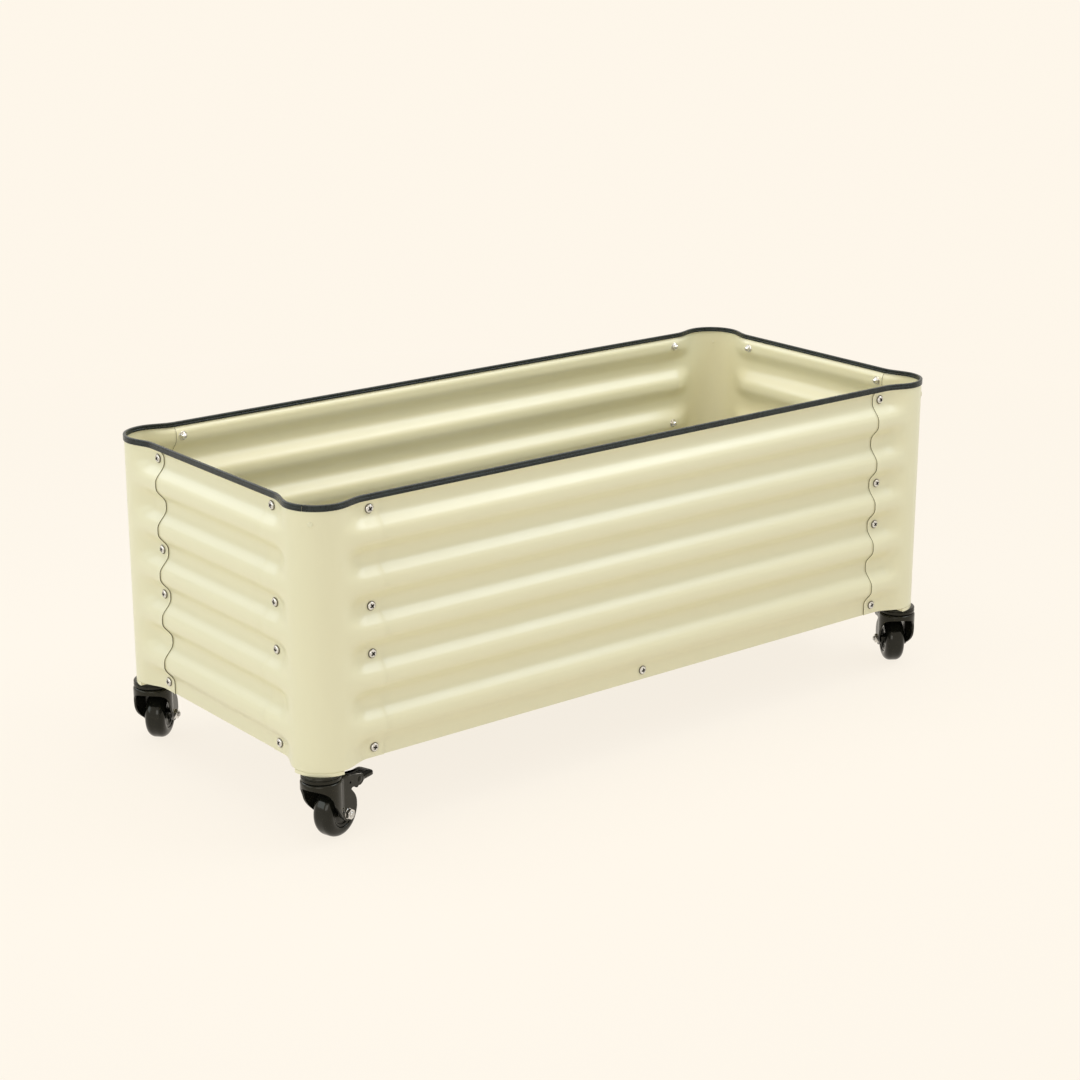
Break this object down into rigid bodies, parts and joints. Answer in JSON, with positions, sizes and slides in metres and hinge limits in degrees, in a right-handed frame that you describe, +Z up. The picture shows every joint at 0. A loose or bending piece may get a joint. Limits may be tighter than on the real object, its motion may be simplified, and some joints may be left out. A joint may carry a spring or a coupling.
{
  "type": "rolling planter",
  "caption": "Long corrugated sheet-metal planter box with rounded corners and a rubber rim, on braked swivel casters.",
  "frame": {"origin": "on the floor, under the middle of the tub", "axes": "+X along the long walls towards the right end, +Y towards the back long wall, +Z up; the front long wall faces -Y"},
  "size_m": [1.2584, 0.584, 0.5],
  "materials": {
    "cream_paint": "satin powder coat",
    "cream_plastic": "matt",
    "black_rubber": "satin, extruded",
    "bright_steel": "bright, slightly worn",
    "zinc_steel": "zinc plated",
    "galvanised_steel": "galvanised, dull",
    "ball_steel": "polished, greased",
    "black_enamel": "gloss enamel",
    "black_hub_plastic": "gloss, moulded",
    "black_tread": "gloss polyurethane"
  },
  "bodies": {
    "planter": {"front_panel": "cream_paint", "back_panel": "cream_paint", "left_panel": "cream_paint", "right_panel": "cream_paint", "corner_panel_front_left": "cream_paint", "corner_panel_back_left": "cream_paint", "corner_panel_front_right": "cream_paint", "corner_panel_back_right": "cream_paint", "rim_trim": "black_rubber", "corner_plugs": "cream_plastic", "panel_bolts": "bright_steel", "panel_washers": "zinc_steel", "panel_nuts": "bright_steel", "corner_bracket_front_left": "cream_paint", "corner_bracket_back_left": "cream_paint", "corner_bracket_front_right": "cream_paint", "corner_bracket_back_right": "cream_paint", "front_base_rail": "galvanised_steel", "back_base_rail": "galvanised_steel", "left_base_rail": "galvanised_steel", "right_base_rail": "galvanised_steel", "centre_crossbar": "galvanised_steel", "left_base_tray": "galvanised_steel", "right_base_tray": "galvanised_steel", "stem_nuts": "zinc_steel", "race_balls": "ball_steel", "swivel_head_front_left": "black_enamel", "swivel_head_back_left": "black_enamel", "swivel_head_front_right": "black_enamel", "swivel_head_back_right": "black_enamel"},
    "caster_front_left": {"fork_front_left": "black_enamel", "axle_bolt_front_left": "zinc_steel", "axle_nut_front_left": "zinc_steel", "pedal_pin_front_left": "black_enamel"},
    "wheel_front_left": {"wheel_hub_front_left": "black_hub_plastic", "tyre_front_left": "black_tread"},
    "pedal_front_left": {"brake_pedal_front_left": "black_enamel"},
    "caster_back_left": {"fork_back_left": "black_enamel", "axle_bolt_back_left": "zinc_steel", "axle_nut_back_left": "zinc_steel", "pedal_pin_back_left": "black_enamel"},
    "wheel_back_left": {"wheel_hub_back_left": "black_hub_plastic", "tyre_back_left": "black_tread"},
    "pedal_back_left": {"brake_pedal_back_left": "black_enamel"},
    "caster_front_right": {"fork_front_right": "black_enamel", "axle_bolt_front_right": "zinc_steel", "axle_nut_front_right": "zinc_steel", "pedal_pin_front_right": "black_enamel"},
    "wheel_front_right": {"wheel_hub_front_right": "black_hub_plastic", "tyre_front_right": "black_tread"},
    "pedal_front_right": {"brake_pedal_front_right": "black_enamel"},
    "caster_back_right": {"fork_back_right": "black_enamel", "axle_bolt_back_right": "zinc_steel", "axle_nut_back_right": "zinc_steel", "pedal_pin_back_right": "black_enamel"},
    "wheel_back_right": {"wheel_hub_back_right": "black_hub_plastic", "tyre_back_right": "black_tread"},
    "pedal_back_right": {"brake_pedal_back_right": "black_enamel"}
  },
  "joints": [
    {"name": "swivel_front_left", "type": "hinge", "parent": "planter", "child": "caster_front_left", "pos_m": [-0.579, -0.236, 0.0945], "axis": [0, 0, 1], "continuous": true},
    {"name": "roll_front_left", "type": "hinge", "parent": "caster_front_left", "child": "wheel_front_left", "pos_m": [-0.55063, -0.22623, 0.0375], "axis": [-0.3256, 0.9455, 0], "continuous": true},
    {"name": "brake_front_left", "type": "hinge", "parent": "caster_front_left", "child": "pedal_front_left", "pos_m": [-0.52321, -0.21679, 0.0795], "axis": [-0.3256, 0.9455, 0], "range_deg": [0, 22]},
    {"name": "swivel_back_left", "type": "hinge", "parent": "planter", "child": "caster_back_left", "pos_m": [-0.579, 0.236, 0.0945], "axis": [0, 0, 1], "continuous": true},
    {"name": "roll_back_left", "type": "hinge", "parent": "caster_back_left", "child": "wheel_back_left", "pos_m": [-0.55706, 0.25646, 0.0375], "axis": [-0.682, 0.7314, 0], "continuous": true},
    {"name": "brake_back_left", "type": "hinge", "parent": "caster_back_left", "child": "pedal_back_left", "pos_m": [-0.53585, 0.27624, 0.0795], "axis": [-0.682, 0.7314, 0], "range_deg": [0, 22]},
    {"name": "swivel_front_right", "type": "hinge", "parent": "planter", "child": "caster_front_right", "pos_m": [0.579, -0.236, 0.0945], "axis": [0, 0, 1], "continuous": true},
    {"name": "roll_front_right", "type": "hinge", "parent": "caster_front_right", "child": "wheel_front_right", "pos_m": [0.59578, -0.21113, 0.0375], "axis": [-0.829, 0.5592, 0], "continuous": true},
    {"name": "brake_front_right", "type": "hinge", "parent": "caster_front_right", "child": "pedal_front_right", "pos_m": [0.61199, -0.18709, 0.0795], "axis": [-0.829, 0.5592, 0], "range_deg": [0, 22]},
    {"name": "swivel_back_right", "type": "hinge", "parent": "planter", "child": "caster_back_right", "pos_m": [0.579, 0.236, 0.0945], "axis": [0, 0, 1], "continuous": true},
    {"name": "roll_back_right", "type": "hinge", "parent": "caster_back_right", "child": "wheel_back_right", "pos_m": [0.55081, 0.22574, 0.0375], "axis": [0.342, -0.9397, 0], "continuous": true},
    {"name": "brake_back_right", "type": "hinge", "parent": "caster_back_right", "child": "pedal_back_right", "pos_m": [0.52356, 0.21582, 0.0795], "axis": [0.342, -0.9397, 0], "range_deg": [0, 22]}
  ]
}
